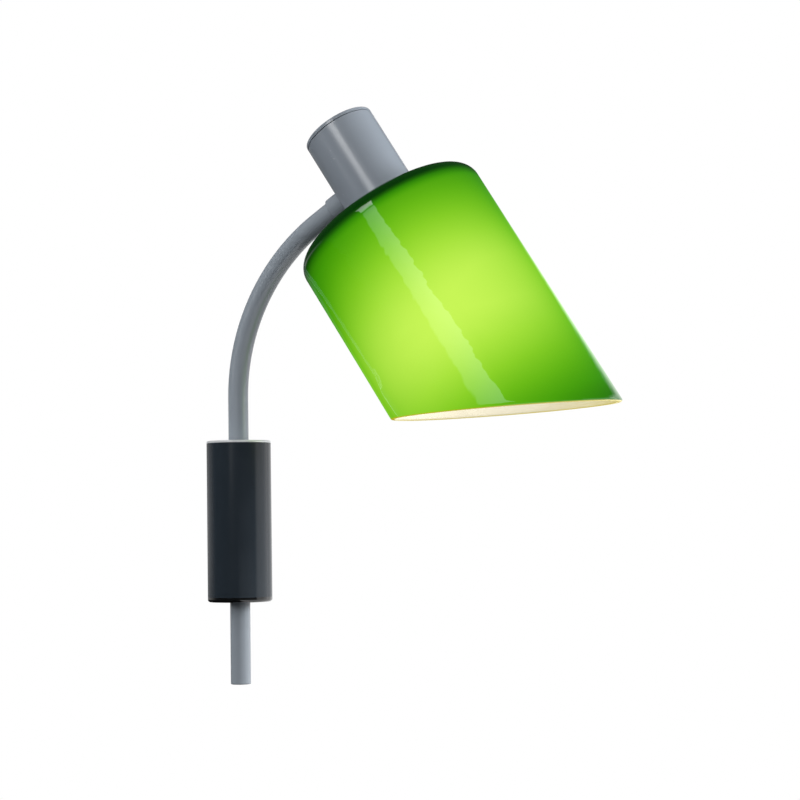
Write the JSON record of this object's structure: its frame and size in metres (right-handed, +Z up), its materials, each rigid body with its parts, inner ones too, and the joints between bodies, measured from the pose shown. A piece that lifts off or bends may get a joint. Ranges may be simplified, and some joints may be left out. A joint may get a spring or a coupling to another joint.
{
  "type": "gooseneck wall sconce",
  "caption": "Wall lamp: dark cylindrical housing, bent swivelling tube arm, grey lampholder cup and green cased-glass shade with a slanted mouth.",
  "frame": {"origin": "on the wall plane, midway between the two wall-screw holes of the bracket", "axes": "+Z up, +Y into the wall, +X to the right of someone who faces the wall; the arm is stored 26.5 degrees off the wall to the right"},
  "size_m": [0.2508, 0.1619, 0.3522],
  "materials": {
    "housing_paint": "satin anthracite powder coat",
    "bright_lip": "fine-turned satin aluminium",
    "black_cap": "glossy black moulding",
    "bracket_metal": "matt extruded aluminium",
    "arm_paint": "satin blue-grey powder coat",
    "cup_paint": "satin blue-grey powder coat",
    "zinc_steel": "zinc-plated steel",
    "bush_plastic": "dark bearing plastic",
    "soft_rubber": "black rubber",
    "terminal_plastic": "natural white moulding",
    "brass": "plain brass",
    "holder_plastic": "black thermoset moulding",
    "lead_sheath": "grey sheathed lead",
    "green_glass": "cased blown glass, glossy green outside and opal white inside",
    "bulb_metal": "nickel-plated screw cap",
    "bulb_plastic": "white moulding",
    "bulb_opal": "opal globe"
  },
  "bodies": {
    "base": {"wall_bracket": "bracket_metal", "hook_studs": "zinc_steel", "housing_tube": "housing_paint", "upper_cap": "bright_lip", "lower_cap": "black_cap", "cap_screws": "zinc_steel", "lock_screw": "zinc_steel", "upper_bush": "bush_plastic", "lower_bush": "bush_plastic", "friction_ring": "soft_rubber", "thrust_washer": "bush_plastic", "cable_grommet": "soft_rubber", "terminal_carrier": "terminal_plastic", "terminal_block": "terminal_plastic", "terminal_screws": "brass", "earth_screw": "brass"},
    "arm": {"arm_tube": "arm_paint", "tail_plug": "arm_paint", "support_collar": "zinc_steel", "stop_screw": "zinc_steel", "arm_lead": "lead_sheath", "swivel_nipple": "zinc_steel", "stop_washer": "zinc_steel", "swivel_nut": "zinc_steel"},
    "head": {"swivel_socket": "arm_paint", "friction_washer": "bush_plastic", "saddle_washer": "bush_plastic", "spring_washer": "zinc_steel", "cup_shell": "cup_paint", "cup_cap": "cup_paint", "carrier_disc": "zinc_steel", "lampholder_body": "holder_plastic", "lampholder_screws": "zinc_steel", "screw_shell": "brass", "centre_contact": "brass", "upper_gasket": "soft_rubber", "lower_gasket": "soft_rubber", "shade_ring": "holder_plastic", "glass_shade": "green_glass", "bulb_cap": "bulb_metal", "bulb_base": "bulb_plastic", "bulb_globe": "bulb_opal"}
  },
  "joints": [
    {"name": "arm_swivel", "type": "hinge", "parent": "base", "child": "arm", "pos_m": [0, -0.024, 0], "axis": [0, 0, -1], "range_deg": [-5, 132]},
    {"name": "head_swivel", "type": "hinge", "parent": "arm", "child": "head", "pos_m": [0.08484, -0.0663, 0.20586], "axis": [0.7577, -0.3778, 0.5321], "range_deg": [-91.86, 88.14]}
  ]
}
